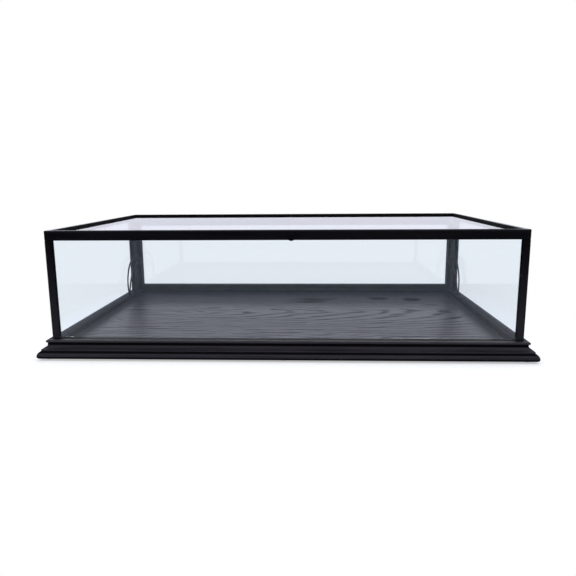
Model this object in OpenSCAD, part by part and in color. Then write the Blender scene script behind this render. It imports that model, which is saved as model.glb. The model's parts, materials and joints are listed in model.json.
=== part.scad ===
// Countertop display case: a moulded wooden base, a fixed glazed back frame and a
// glazed hood that is hinged along the back's top edge and lifted by a front knob.
// Millimetres, +Z up, front towards -Y, origin under the middle of the base.

/* [Case] */
// Outside width of the glazed hood
case_w = 810; // [600:1:1000]
// Outside depth of the hood and back frame together
case_d = 460; // [360:1:560]
// Height of the hood above the base's top
hood_h = 189; // [150:1:300]
// Thickness of every glass pane
glass_t = 4; // [3:0.5:5]

/* [Base] */
// Height of the moulding without its pads
base_h = 31; // [28:0.5:40]
// Height of the felt pads below the moulding
pad_h = 2; // [1:0.5:4]
// Diameter of a felt pad
pad_d = 16; // [12:1:20]
// Width of the flat top inside the hood's outer face
frame_in = 14; // [13:0.5:20]
// How far the bottom bead stands out from the hood
bead_out = 21; // [20:0.5:24]
// Radius of the bottom bead's upper shoulder
bead_r = 9; // [8.5:0.25:9.5]
// Radius of the bead's lower edge
foot_r = 5; // [4:0.25:5.5]
// How far the neck under the top nose stands out
neck_out = 6.5; // [6:0.25:8]
// Radius of the rounded nose along the top edge
nose_r = 2.4; // [2:0.25:3.5]
// Radius of the hollow between neck and bead
cove_r = 8.5; // [8:0.25:9]
// Height of the small step between cove and bead
fillet_h = 2; // [1.5:0.25:3]
// Depth of the display floor below the base's top
floor_drop = 10; // [8:0.5:13]
// Thickness of the display floor
floor_t = 9; // [6:0.5:10]
// How far the floor's edge runs under the top frame
floor_lap = 8; // [7:0.5:9]
// Width of a batten under the floor
batten_w = 40; // [30:1:60]
// Leg of a triangular corner block
block_leg = 46; // [30:1:60]

/* [Hood] */
// Width of the top frame's rails seen from above
top_rail_w = 14; // [12:0.5:20]
// Height of the top frame's rails
top_rail_h = 17; // [14:0.5:19]
// Depth of the top pane below the rails
pane_drop = 4.25; // [2.5:0.25:4.75]
// Width of the ledge that carries the top pane
pane_ledge = 7; // [5:0.5:8]
// Radius of the top frame's outer edges
edge_r = 1.5; // [0.5:0.25:2.5]
// Width of a front post
post_w = 12; // [11:0.5:16]
// Depth of a front post
post_d = 9; // [8.5:0.25:14]
// Width of a side frame's rear stile
side_stile_w = 34; // [28:0.5:40]
// Height of the wood left under the panes' grooves
pane_stop = 1.2; // [0.8:0.1:2]
// Height of the rubber bumpers under the hood
bumper_h = 1; // [0.6:0.1:2]
// Diameter of a bumper
bumper_d = 7; // [5:0.5:8]

/* [Back frame] */
// Thickness of the back frame
rear_t = 18; // [15:0.5:24]
// Width of the back frame's stiles
rear_stile_w = 16; // [15.5:0.5:22]
// Height of the back frame's top rail
rear_top_h = 13; // [12.5:0.5:24]
// Height of the back frame's bottom rail
rear_bottom_h = 10.5; // [10:0.5:20]
// How far the back frame's ends stay inside the hood's sides
rear_inset = 2; // [1:0.25:4]
// Length of the stub tenons
tenon_l = 8; // [5:0.5:10]
// Thickness of the stub tenons
tenon_t = 6; // [5:0.5:7]
// Shoulder above the top tenons
tenon_top = 4; // [3:0.5:6]
// Shoulder above and below the bottom tenons
tenon_low = 2; // [1.5:0.25:3]

/* [Knob] */
// Distance of the knob to the right of the rail's middle
knob_x = 14; // [-40:1:40]
// Diameter of the knob's head
knob_d = 13.5; // [10:0.5:16]
// Height of the knob's middle above the rail's underside
knob_up = 6.6; // [6.6:0.2:8]
// How far the knob stands out from the rail
knob_l = 15; // [10:0.5:20]

/* [Hinges] */
// Distance of each hinge's middle from the hood's side
hinge_in = 135; // [60:5:200]
// Length of a hinge
hinge_l = 50; // [40:1:70]
// Height of one hinge leaf
leaf_h = 11; // [9:0.5:12]
// Thickness of a leaf
leaf_t = 1.6; // [1.2:0.1:2]
// Outside radius of the knuckles
knuckle_r = 3.2; // [3:0.1:4]
// Radius of the hinge pin
pin_r = 1.5; // [1.2:0.1:1.8]

/* [Stays] */
// Length of each stay arm between its pivots
stay_l = 104; // [102:1:108]
// Width of a stay arm
stay_w = 5.5; // [4.5:0.5:8]
// Thickness of a stay arm and its brackets
stay_t = 1.5; // [1.2:0.1:1.6]
// How far the back frame's arm bows out of the straight line
rear_bow = 20; // [10:1:26]
// How far the hood's arm bows out of the straight line
hood_bow = 36; // [26:1:40]
// Radius of the eyes at the arms' ends
eye_r = 5; // [4.5:0.25:6]
// Radius of the pivot studs
stud_r = 2; // [1.5:0.1:2.5]
// Height of the back frame's stay pivot above the base
stay_z = 72; // [70:1:84]
// Distance of that pivot in front of the back frame
stay_out = 9; // [8.5:0.25:10]
// Forward step from that pivot to the hood's pivot
stay_step_y = 9; // [8:0.5:10]
// Upward step from that pivot to the hood's pivot
stay_step_z = 10; // [9:0.5:11]

/* [Clearances] */
// Gap between panes and their grooves on each side
glass_gap = 0.2; // [0.1:0.05:0.4]
// Gap around tenons, screws and the floor
joint_gap = 0.15; // [0.1:0.05:0.3]
// Radial clearance of a running pivot
run_gap = 0.05; // [0.03:0.01:0.08]
// Gap between pieces that pass each other
pass_gap = 0.3; // [0.25:0.05:0.5]
// Gap between the hood and the back frame
hood_gap = 0.5; // [0.4:0.05:0.8]
// Gap between the hinge knuckles and the wood
knuckle_gap = 0.4; // [0.3:0.05:0.8]
// Gap between the panes' edges and the bottom of their grooves
bite_gap = 0.3; // [0.2:0.05:0.5]
// Gap between the battens and the moulding's foot
batten_gap = 1; // [0.5:0.25:2]

/* [Hidden] */
$fn = 64;
eps = 0.01;
over = 1;
hw = case_w / 2;
hd = case_d / 2;
z_rim = pad_h + base_h;
z_floor = z_rim - floor_drop;
z_panel = z_floor - floor_t;
z_top = z_rim + hood_h;
z_under = z_top - top_rail_h;
z_hood = z_rim + bumper_h;
z_pane = z_hood + pane_stop;
z_ledge = z_top - pane_drop - glass_t;
side_in = hw - post_w;
stile_y1 = hd - rear_t - hood_gap;
stile_y0 = stile_y1 - side_stile_w;
pane_y = hd - post_d / 2;
pane_x = hw - post_w / 2;
post_y1 = post_d - hd;
groove_t = glass_t + 2 * glass_gap;
groove_d = 4;
post_groove_d = 3.4;
low_groove_d = 2.2;
rear_in = hd - rear_t;
rear_hw = hw - rear_inset;
rear_open_x = rear_hw - rear_stile_w;
rear_z1 = z_under - hood_gap;
rear_open_z0 = z_rim + rear_bottom_h;
rear_open_z1 = rear_z1 - rear_top_h;
rear_mid = hd - rear_t / 2;
hinge_x = hw - hinge_in;
hinge_y = hd + knuckle_r + knuckle_gap;
hinge_z = z_under - hood_gap / 2;
knuckle_l = (hinge_l - 2 * pass_gap) / 3;
plane_b = side_in - 2 * stay_t - pass_gap;
plane_a = plane_b - stay_t - pass_gap;
plane_ear = plane_a - stay_t - pass_gap;
pa = [rear_in - stay_out, z_rim + stay_z];
pb = [pa[0] - stay_step_y, pa[1] + stay_step_z];
half_ab = norm(pb - pa) / 2;
knee_l = sqrt(stay_l * stay_l - half_ab * half_ab);
knee = (pa + pb) / 2 + knee_l * [-stay_step_z, -stay_step_y] / (2 * half_ab);
screw_r = 2;
screw_head_r = 3.2;
screw_head_h = 3;
screw_x = [-rear_hw + rear_stile_w / 2, -case_w / 6, case_w / 6, rear_hw - rear_stile_w / 2];
screw_y = hd - floor_lap / 2;
screw_bite = 7;
sink_z = 10;
batten_x = case_w * 0.27;
batten_screw_y = case_d * 0.3;
batten_screw_bite = 6;
z_batten = pad_h + batten_gap;
small_r = 1.2;
small_head_r = 2.4;
small_l = 6;
small_pilot = 0.1;
tip_room = 1;
small_head_h = 1.5;
drive_w = 0.7;
drive_d = 0.8;
drive_part = 0.6;
leaf_screw_x = hinge_l * 0.32;
leaf_screw_z = leaf_h * 0.6;
leaf_sink = leaf_t * 0.75;
plate_screw_z = eye_r * 1.6;
plate_half = eye_r * 2.5;
plate_head_r = small_r * 1.6;
plate_sink = stay_t * 0.75;
rivet_r = stud_r * 1.5;
rivet_out = pass_gap * 1.5;
knob_z = z_under + knob_up;
knob_neck_r = knob_d * 0.3;
knob_collar_h = 1.5;
knob_collar_out = 1;
knob_head_sink = 2;
knob_screw_wood = top_rail_w - pane_ledge - knob_head_sink;
knob_screw_y = knob_screw_wood - hd;
knob_screw_bite = knob_l * 0.6;

// Box between two corners
module span(a, b) {
  translate(a) cube(b - a);
}

// Two mirrored copies, left and right
module both() {
  children();
  mirror([1, 0, 0]) children();
}

// Square corner at the origin with its outer top and bottom edges rounded
module rail_section(w, h, r) {
  square([w - r, h]);
  translate([0, r]) square([w, h - 2 * r]);
  translate([w - r, r]) circle(r);
  translate([w - r, h - r]) circle(r);
}

// Wedge-shaped plan that cuts a frame piece to 45 degrees at both ends
module mitre_plan(half, dist, w_in, w_out) {
  polygon([
    [-(half - w_in) + joint_gap, dist - w_in],
    [half - w_in - joint_gap, dist - w_in],
    [half + w_out - joint_gap, dist + w_out],
    [-(half + w_out) + joint_gap, dist + w_out]
  ]);
}

// Base moulding seen from its end: nose, neck, cove, step and bead
module mould_section() {
  z_foot = pad_h + foot_r;
  z_bead = z_foot + bead_r;
  step_out = neck_out + cove_r;
  translate([-frame_in, z_floor]) square([frame_in + neck_out, floor_drop]);
  translate([-floor_lap, pad_h]) square([floor_lap + neck_out, base_h]);
  translate([neck_out, z_rim - nose_r]) circle(nose_r);
  translate([0, pad_h]) square([step_out, foot_r + bead_r + fillet_h]);
  translate([0, pad_h]) square([bead_out - foot_r, foot_r]);
  translate([bead_out - foot_r, z_foot]) circle(foot_r);
  intersection() {
    translate([bead_out - bead_r, z_foot]) circle(bead_r);
    translate([0, z_foot]) square([bead_out, bead_r]);
  }
  difference() {
    translate([0, z_bead]) square([step_out, fillet_h + cove_r]);
    translate([step_out, z_bead + fillet_h + cove_r]) circle(cove_r);
  }
}

// One mitred side of the base, drawn as the rear one
module moulding(half, dist) {
  run = half + bead_out + over;
  intersection() {
    translate([-run, dist, 0]) rotate([90, 0, 90]) linear_extrude(2 * run) mould_section();
    linear_extrude(z_rim + over) mitre_plan(half, dist, frame_in, bead_out + over);
  }
}

// Stepped hole for a screw that goes up into the back frame
module back_screw_hole() {
  translate([0, 0, -eps]) cylinder(h = sink_z + eps, r = screw_head_r + joint_gap);
  cylinder(h = z_rim + over, r = screw_r + joint_gap);
}

module moulding_rear() {
  color([0.1, 0.1, 0.1]) difference() {
    moulding(hw, hd);
    for (x = screw_x) translate([x, screw_y, 0]) back_screw_hole();
  }
}

module moulding_front() {
  color([0.1, 0.1, 0.1]) rotate([0, 0, 180]) moulding(hw, hd);
}

module moulding_right() {
  color([0.1, 0.1, 0.1]) rotate([0, 0, -90]) moulding(hd, hw);
}

module moulding_left() {
  color([0.1, 0.1, 0.1]) rotate([0, 0, 90]) moulding(hd, hw);
}

// Display floor, pushed up from below against the top frame's lip
module floor_panel() {
  x1 = hw - floor_lap - joint_gap;
  y1 = hd - floor_lap - joint_gap;
  color([0.16, 0.15, 0.15]) difference() {
    span([-x1, -y1, z_panel], [x1, y1, z_floor]);
    for (x = [-batten_x, batten_x], y = [-batten_screw_y, batten_screw_y]) {
      translate([x, y, z_panel - eps]) cylinder(h = batten_screw_bite + eps, r = screw_r + joint_gap);
    }
  }
}

// Cross recess in a screw head that faces down the axis
module cross_recess(head_r) {
  for (a = [0, 90]) rotate([0, 0, a]) translate([-head_r * drive_part, -drive_w / 2, -eps])
    cube([2 * head_r * drive_part, drive_w, drive_d + eps]);
}

// Countersunk screw, or the hole for it when grow is more than nothing
module countersunk(r, head_r, sink, grow, l) {
  difference() {
    union() {
      cylinder(h = sink, r1 = head_r + grow, r2 = r + grow);
      cylinder(h = l, r = r + grow);
    }
    if (grow == 0) cross_recess(head_r);
  }
}

// Cross batten with countersunk holes for the screws into the floor
module batten() {
  y1 = hd - floor_lap - joint_gap;
  difference() {
    span([-batten_w / 2, -y1, z_batten], [batten_w / 2, y1, z_panel]);
    for (y = [-batten_screw_y, batten_screw_y]) translate([0, y, z_batten - eps])
      countersunk(screw_r, screw_head_r, screw_head_h, joint_gap, z_panel);
  }
}

module batten_left() {
  color([0.45, 0.35, 0.25]) translate([-batten_x, 0, 0]) batten();
}

module batten_right() {
  color([0.45, 0.35, 0.25]) translate([batten_x, 0, 0]) batten();
}

// Glue block in one corner under the floor
module corner_block() {
  x1 = hw - floor_lap - joint_gap;
  y1 = hd - floor_lap - joint_gap;
  color([0.45, 0.35, 0.25]) translate([0, 0, z_batten]) linear_extrude(z_panel - z_batten)
    polygon([[x1, y1], [x1 - block_leg, y1], [x1, y1 - block_leg]]);
}

module block_rear_right() {
  corner_block();
}

module block_rear_left() {
  mirror([1, 0, 0]) corner_block();
}

module block_front_right() {
  mirror([0, 1, 0]) corner_block();
}

module block_front_left() {
  rotate([0, 0, 180]) corner_block();
}

// Six felt pads under the moulding
module felt_pads() {
  pad_off = (bead_out - foot_r - floor_lap) / 2;
  color([0.2, 0.2, 0.2]) for (x = [-hw - pad_off, 0, hw + pad_off], y = [-hd - pad_off, hd + pad_off]) {
    translate([x, y, 0]) cylinder(h = pad_h, d = pad_d);
  }
}

// Countersunk screws through the battens into the floor
module batten_screws() {
  color([0.6, 0.6, 0.6]) for (x = [-batten_x, batten_x], y = [-batten_screw_y, batten_screw_y]) {
    translate([x, y, z_batten])
      countersunk(screw_r, screw_head_r, screw_head_h, 0,
                  z_panel - z_batten + batten_screw_bite - joint_gap);
  }
}

// Screws up through the rear moulding into the back frame
module back_screws() {
  color([0.6, 0.6, 0.6]) for (x = screw_x) translate([x, screw_y, sink_z - screw_head_h]) difference() {
    union() {
      cylinder(h = screw_head_h, r = screw_head_r);
      cylinder(h = z_rim + screw_bite - sink_z + screw_head_h, r = screw_r);
    }
    cross_recess(screw_head_r);
  }
}

// Rubber bumpers that the closed hood rests on
module hood_bumpers() {
  color([0.05, 0.05, 0.05]) both() {
    translate([hw - post_w / 2, post_d / 2 - hd, z_rim]) cylinder(h = bumper_h, d = bumper_d);
    translate([hw - post_w / 2, (stile_y0 + stile_y1) / 2, z_rim]) cylinder(h = bumper_h, d = bumper_d);
  }
}

// Pilot holes for the screws of one hinge leaf, bored from the back
module leaf_pilots(z) {
  for (x = [-1, 1]) translate([x * leaf_screw_x, hd + eps, z]) {
    rotate([90, 0, 0]) cylinder(h = small_l + eps, r = small_r + small_pilot);
  }
}

// Right stile of the back frame: glass groove, two mortises, bored for the bracket screws
module rear_stile() {
  slot = tenon_l + joint_gap;
  half = tenon_t / 2 + joint_gap;
  difference() {
    span([rear_open_x, rear_in, z_rim], [rear_hw, hd, rear_z1]);
    span([rear_open_x - eps, rear_mid - groove_t / 2, rear_open_z0 - groove_d],
         [rear_open_x + groove_d, rear_mid + groove_t / 2, rear_open_z1 + groove_d]);
    span([rear_open_x - eps, rear_mid - half, z_rim + tenon_low - joint_gap],
         [rear_open_x + slot, rear_mid + half, rear_open_z0 - tenon_low + joint_gap]);
    span([rear_open_x - eps, rear_mid - half, rear_open_z1 + groove_d - joint_gap],
         [rear_open_x + slot, rear_mid + half, rear_z1 - tenon_top + joint_gap]);
    translate([rear_hw - rear_stile_w / 2, screw_y, z_rim - eps])
      cylinder(h = screw_bite + joint_gap, r = screw_r + joint_gap);
    bracket_pilots();
  }
}

module rear_stile_right() {
  color([0.06, 0.06, 0.06]) rear_stile();
}

module rear_stile_left() {
  color([0.06, 0.06, 0.06]) mirror([1, 0, 0]) rear_stile();
}

// Top rail of the back frame with a groove below and a tenon at each end
module rear_top_rail() {
  color([0.06, 0.06, 0.06]) difference() {
    union() {
      span([-rear_open_x, rear_in, rear_open_z1], [rear_open_x, hd, rear_z1]);
      span([-rear_open_x - tenon_l, rear_mid - tenon_t / 2, rear_open_z1 + groove_d],
           [rear_open_x + tenon_l, rear_mid + tenon_t / 2, rear_z1 - tenon_top]);
    }
    span([-rear_open_x - eps, rear_mid - groove_t / 2, rear_open_z1 - eps],
         [rear_open_x + eps, rear_mid + groove_t / 2, rear_open_z1 + groove_d]);
    for (x = [-hinge_x, hinge_x]) translate([x, 0, 0]) leaf_pilots(hinge_z - leaf_screw_z);
  }
}

// Bottom rail of the back frame with a groove above and a tenon at each end
module rear_bottom_rail() {
  color([0.06, 0.06, 0.06]) difference() {
    union() {
      span([-rear_open_x, rear_in, z_rim], [rear_open_x, hd, rear_open_z0]);
      span([-rear_open_x - tenon_l, rear_mid - tenon_t / 2, z_rim + tenon_low],
           [rear_open_x + tenon_l, rear_mid + tenon_t / 2, rear_open_z0 - tenon_low]);
    }
    span([-rear_open_x - tenon_l - over, rear_mid - groove_t / 2, rear_open_z0 - low_groove_d],
         [rear_open_x + tenon_l + over, rear_mid + groove_t / 2, rear_open_z0 + eps]);
    for (x = [screw_x[1], screw_x[2]]) translate([x, screw_y, z_rim - eps])
      cylinder(h = screw_bite + joint_gap, r = screw_r + joint_gap);
  }
}

module rear_pane() {
  x1 = rear_open_x + groove_d - bite_gap;
  color([0.8, 0.9, 0.95, 0.3])
    span([-x1, rear_mid - glass_t / 2, rear_open_z0 - low_groove_d + bite_gap],
         [x1, rear_mid + glass_t / 2, rear_open_z1 + groove_d - bite_gap]);
}

// Knuckle ranges along the hinge: the middle one turns with the hood
module knuckle(i, r, grow) {
  x0 = -hinge_l / 2 + i * (knuckle_l + pass_gap);
  translate([x0 - grow, hinge_y, hinge_z]) rotate([0, 90, 0]) cylinder(h = knuckle_l + 2 * grow, r = r);
}

// Leaf screws seen as tapered holes or as screws
module leaf_screw(z, grow, l) {
  for (x = [-1, 1]) translate([x * leaf_screw_x, hd + leaf_t + sign(grow) * eps, z]) rotate([90, 0, 0])
    countersunk(small_r, small_head_r, leaf_sink, grow, l);
}

// Leaf on the back frame, with the two outer knuckles
module leaf_fixed() {
  color([0.3, 0.3, 0.32]) difference() {
    union() {
      span([-hinge_l / 2, hd, hinge_z - leaf_h], [hinge_l / 2, hd + leaf_t, hinge_z]);
      knuckle(0, knuckle_r, 0);
      knuckle(2, knuckle_r, 0);
    }
    knuckle(1, knuckle_r + pass_gap, pass_gap);
    translate([-hinge_l, hinge_y, hinge_z]) rotate([0, 90, 0]) cylinder(h = 2 * hinge_l, r = pin_r);
    leaf_screw(hinge_z - leaf_screw_z, small_pilot, leaf_t + over);
  }
}

// Leaf on the hood's rear rail, with the middle knuckle
module leaf_hood() {
  color([0.3, 0.3, 0.32]) difference() {
    union() {
      span([-hinge_l / 2, hd, hinge_z + hood_gap / 2], [hinge_l / 2, hd + leaf_t, hinge_z + leaf_h]);
      span([-knuckle_l / 2, hd + knuckle_gap, hinge_z], [knuckle_l / 2, hd + leaf_t, hinge_z + leaf_h]);
      knuckle(1, knuckle_r, 0);
    }
    knuckle(0, knuckle_r + pass_gap, pass_gap);
    knuckle(2, knuckle_r + pass_gap, pass_gap);
    translate([-hinge_l, hinge_y, hinge_z]) rotate([0, 90, 0])
      cylinder(h = 2 * hinge_l, r = pin_r + run_gap);
    leaf_screw(hinge_z + leaf_screw_z, small_pilot, leaf_t + over);
  }
}

module hinge_leaf_fixed_left() {
  translate([-hinge_x, 0, 0]) leaf_fixed();
}

module hinge_leaf_fixed_right() {
  translate([hinge_x, 0, 0]) leaf_fixed();
}

module hinge_leaf_hood_left() {
  translate([-hinge_x, 0, 0]) leaf_hood();
}

module hinge_leaf_hood_right() {
  translate([hinge_x, 0, 0]) leaf_hood();
}

module hinge_pins() {
  color([0.5, 0.5, 0.52]) for (x = [-hinge_x, hinge_x]) translate([x - hinge_l / 2, hinge_y, hinge_z])
    rotate([0, 90, 0]) cylinder(h = hinge_l, r = pin_r);
}

module hinge_screws_fixed() {
  color([0.4, 0.4, 0.42]) for (x = [-hinge_x, hinge_x]) translate([x, 0, 0])
    leaf_screw(hinge_z - leaf_screw_z, 0, leaf_t + small_l - tip_room);
}

module hinge_screws_hood() {
  color([0.4, 0.4, 0.42]) for (x = [-hinge_x, hinge_x]) translate([x, 0, 0])
    leaf_screw(hinge_z + leaf_screw_z, 0, leaf_t + small_l - tip_room);
}

// One mitred rail of the top frame, drawn as the rear one, rebated for the top pane
module top_rail(half, dist) {
  intersection() {
    difference() {
      translate([-half, dist - top_rail_w, z_under]) rotate([90, 0, 90])
        linear_extrude(2 * half) rail_section(top_rail_w, top_rail_h, edge_r);
      span([-half, dist - top_rail_w - over, z_ledge],
           [half, dist - top_rail_w + pane_ledge, z_top + over]);
    }
    translate([0, 0, z_under - over]) linear_extrude(top_rail_h + 2 * over)
      mitre_plan(half, dist, top_rail_w, over);
  }
}

// Groove in the underside of a top rail for the upright pane
module top_groove(half, dist) {
  span([-half, dist - groove_t / 2, z_under - eps], [half, dist + groove_t / 2, z_under + groove_d]);
}

// Groove in the underside of the right top rail for the side pane
module side_groove() {
  span([pane_x - groove_t / 2, post_y1 - post_groove_d, z_under - eps],
       [pane_x + groove_t / 2, stile_y0 + groove_d, z_under + groove_d]);
}

module top_rail_rear() {
  color([0.06, 0.06, 0.06]) difference() {
    top_rail(hw, hd);
    for (x = [-hinge_x, hinge_x]) translate([x, 0, 0]) leaf_pilots(hinge_z + leaf_screw_z);
  }
}

module top_rail_front() {
  color([0.06, 0.06, 0.06]) difference() {
    rotate([0, 0, 180]) top_rail(hw, hd);
    rotate([0, 0, 180]) top_groove(side_in + post_groove_d, pane_y);
    both() side_groove();
    translate([knob_x, -hd - eps, knob_z]) rotate([-90, 0, 0])
      cylinder(h = top_rail_w + over, r = small_r + small_pilot);
    translate([knob_x, knob_screw_y, knob_z]) rotate([-90, 0, 0])
      cylinder(h = pane_ledge + knob_head_sink + over, r = small_head_r + small_pilot);
  }
}

// Right side rail of the top frame
module top_rail_side() {
  difference() {
    rotate([0, 0, -90]) top_rail(hd, hw);
    side_groove();
  }
}

module top_rail_right() {
  color([0.06, 0.06, 0.06]) top_rail_side();
}

module top_rail_left() {
  color([0.06, 0.06, 0.06]) mirror([1, 0, 0]) top_rail_side();
}

module top_pane() {
  x1 = hw - top_rail_w + pane_ledge - bite_gap;
  y1 = hd - top_rail_w + pane_ledge - bite_gap;
  color([0.8, 0.9, 0.95, 0.3]) span([-x1, -y1, z_ledge], [x1, y1, z_ledge + glass_t]);
}

// Right front post with a groove for the front pane and one for the side pane
module post() {
  difference() {
    span([side_in, -hd, z_hood], [hw, post_y1, z_under]);
    span([side_in - eps, -pane_y - groove_t / 2, z_pane],
         [side_in + post_groove_d, -pane_y + groove_t / 2, z_under + eps]);
    span([pane_x - groove_t / 2, post_y1 - post_groove_d, z_pane],
         [pane_x + groove_t / 2, post_y1 + eps, z_under + eps]);
  }
}

module post_right() {
  color([0.06, 0.06, 0.06]) post();
}

module post_left() {
  color([0.06, 0.06, 0.06]) mirror([1, 0, 0]) post();
}

// Front pane, held by the posts and the top rail, its bottom edge left free
module front_pane() {
  x1 = side_in + post_groove_d - bite_gap;
  color([0.8, 0.9, 0.95, 0.3])
    span([-x1, -pane_y - glass_t / 2, z_pane + bite_gap],
         [x1, -pane_y + glass_t / 2, z_under + groove_d - bite_gap]);
}

// Right rear stile of the hood's side
module side_stile() {
  difference() {
    span([side_in, stile_y0, z_hood], [hw, stile_y1, z_under]);
    span([pane_x - groove_t / 2, stile_y0 - eps, z_pane],
         [pane_x + groove_t / 2, stile_y0 + groove_d, z_under + eps]);
    hood_bracket_screws(small_pilot, small_l);
  }
}

module side_stile_right() {
  color([0.06, 0.06, 0.06]) side_stile();
}

module side_stile_left() {
  color([0.06, 0.06, 0.06]) mirror([1, 0, 0]) side_stile();
}

// Right side pane, its bottom edge left free like the front pane's
module side_pane() {
  span([pane_x - glass_t / 2, post_y1 - post_groove_d + bite_gap, z_pane + bite_gap],
       [pane_x + glass_t / 2, stile_y0 + groove_d - bite_gap, z_under + groove_d - bite_gap]);
}

module side_pane_right() {
  color([0.8, 0.9, 0.95, 0.3]) side_pane();
}

module side_pane_left() {
  color([0.8, 0.9, 0.95, 0.3]) mirror([1, 0, 0]) side_pane();
}

// Turned knob: collar, waist and domed head
module knob() {
  head_r = knob_d / 2;
  head_t = knob_l * 0.5;
  color([0.05, 0.05, 0.05]) translate([knob_x, -hd, knob_z]) rotate([90, 0, 0]) rotate_extrude() {
    difference() {
      union() {
        square([knob_neck_r + knob_collar_out, knob_collar_h]);
        square([knob_neck_r, knob_l - head_t / 2]);
        translate([0, knob_l - head_t]) square([head_r - head_t / 2, head_t]);
        translate([head_r - head_t / 2, knob_l - head_t / 2]) intersection() {
          circle(head_t / 2);
          translate([0, -head_t]) square([head_t, 2 * head_t]);
        }
      }
      square([small_r + small_pilot, knob_l - head_t / 2]);
    }
  }
}

// Screw from inside the rail into the knob
module knob_screw() {
  color([0.5, 0.5, 0.5]) translate([knob_x, knob_screw_y + small_head_h, knob_z])
    rotate([90, 0, 0]) difference() {
    union() {
      cylinder(h = small_head_h, r = small_head_r);
      cylinder(h = small_head_h + knob_screw_y + hd + knob_screw_bite, r = small_r);
    }
    cross_recess(small_head_r);
  }
}

// Pilot holes in the back frame's right stile
module bracket_pilots() {
  for (s = [-1, 1]) translate([plane_b, rear_in - eps, pa[1] + s * plate_screw_z])
    rotate([-90, 0, 0]) cylinder(h = small_l, r = small_r + small_pilot);
}

// Screws of the right rear bracket
module rear_bracket_screws(grow, l) {
  for (s = [-1, 1]) translate([plane_b, rear_in - stay_t - sign(grow) * eps, pa[1] + s * plate_screw_z])
    rotate([-90, 0, 0]) countersunk(small_r, plate_head_r, plate_sink, grow, l);
}

// Screws of the right hood bracket, driven outwards into the side stile
module hood_bracket_screws(grow, l) {
  for (s = [-1, 1]) translate([side_in - stay_t - sign(grow) * eps, pb[0], pb[1] + s * plate_screw_z])
    rotate([0, 90, 0]) countersunk(small_r, plate_head_r, plate_sink, grow, l);
}

// Angle bracket on the back frame: foot, ear and riveted stud
module bracket_rear() {
  ear_h = eye_r * 0.8;
  color([0.55, 0.55, 0.56]) difference() {
    union() {
      span([plane_ear, rear_in - stay_t, pa[1] - plate_half],
           [side_in - hood_gap, rear_in, pa[1] + plate_half]);
      translate([plane_ear, pa[0], pa[1]]) rotate([90, 0, 90]) {
        linear_extrude(stay_t) {
          circle(eye_r);
          translate([0, -ear_h]) square([stay_out, 2 * ear_h]);
        }
        cylinder(h = 2 * stay_t + pass_gap, r = stud_r);
      }
    }
    rear_bracket_screws(small_pilot, stay_t + over);
  }
}

// Plate on the hood's side stile with its riveted stud
module bracket_hood() {
  color([0.55, 0.55, 0.56]) difference() {
    union() {
      span([side_in - stay_t, pb[0] - eye_r, pb[1] - plate_half],
           [side_in, pb[0] + eye_r, pb[1] + plate_half]);
      translate([plane_b, pb[0], pb[1]]) rotate([0, 90, 0])
        cylinder(h = 1.5 * stay_t + pass_gap, r = stud_r);
    }
    hood_bracket_screws(small_pilot, stay_t + over);
  }
}

module stay_bracket_rear_right() {
  bracket_rear();
}

module stay_bracket_rear_left() {
  mirror([1, 0, 0]) bracket_rear();
}

module stay_bracket_hood_right() {
  bracket_hood();
}

module stay_bracket_hood_left() {
  mirror([1, 0, 0]) bracket_hood();
}

// Bowed flat arm from the origin to [stay_l, 0] with an eye at each end
module arm(bow, rivet_z) {
  bow_r = (stay_l * stay_l / 4 + bow * bow) / (2 * bow);
  bow_half = asin(stay_l / 2 / bow_r);
  difference() {
    union() {
      cylinder(h = stay_t, r = eye_r);
      translate([stay_l, 0, 0]) cylinder(h = stay_t, r = eye_r);
      translate([stay_l, 0, rivet_z]) cylinder(h = stay_t + rivet_out, r = rivet_r);
      translate([stay_l / 2, bow_r - bow, 0]) rotate([0, 0, 270 - bow_half])
        rotate_extrude(angle = 2 * bow_half) translate([bow_r - stay_w / 2, 0]) square([stay_w, stay_t]);
    }
    translate([0, 0, -over]) cylinder(h = stay_t + 2 * over, r = stud_r + run_gap);
  }
}

// Places an arm in its plane, turned from its pivot towards the knee
module placed_arm(x, p, bow, rivet_z) {
  d = knee - p;
  color([0.6, 0.6, 0.61]) translate([x, p[0], p[1]]) rotate([90, 0, 90]) rotate([0, 0, atan2(d[1], d[0])])
    arm(bow, rivet_z);
}

module stay_arm_rear_right() {
  placed_arm(plane_a, pa, rear_bow, -rivet_out);
}

module stay_arm_rear_left() {
  mirror([1, 0, 0]) placed_arm(plane_a, pa, rear_bow, -rivet_out);
}

module stay_arm_hood_right() {
  placed_arm(plane_b, pb, hood_bow, 0);
}

module stay_arm_hood_left() {
  mirror([1, 0, 0]) placed_arm(plane_b, pb, hood_bow, 0);
}

module stay_screws_rear() {
  color([0.5, 0.5, 0.52]) both() rear_bracket_screws(0, stay_t + small_l - tip_room);
}

module stay_screws_hood() {
  color([0.5, 0.5, 0.52]) both() hood_bracket_screws(0, stay_t + small_l - 2 * tip_room);
}

moulding_front();
moulding_rear();
moulding_left();
moulding_right();
floor_panel();
batten_left();
batten_right();
block_front_left();
block_front_right();
block_rear_left();
block_rear_right();
felt_pads();
batten_screws();
back_screws();
hood_bumpers();
rear_stile_left();
rear_stile_right();
rear_top_rail();
rear_bottom_rail();
rear_pane();
hinge_leaf_fixed_left();
hinge_leaf_fixed_right();
hinge_leaf_hood_left();
hinge_leaf_hood_right();
hinge_pins();
hinge_screws_fixed();
hinge_screws_hood();
top_rail_front();
top_rail_rear();
top_rail_left();
top_rail_right();
top_pane();
post_left();
post_right();
front_pane();
side_stile_left();
side_stile_right();
side_pane_left();
side_pane_right();
knob();
knob_screw();
stay_bracket_rear_left();
stay_bracket_rear_right();
stay_bracket_hood_left();
stay_bracket_hood_right();
stay_arm_rear_left();
stay_arm_rear_right();
stay_arm_hood_left();
stay_arm_hood_right();
stay_screws_rear();
stay_screws_hood();
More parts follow.
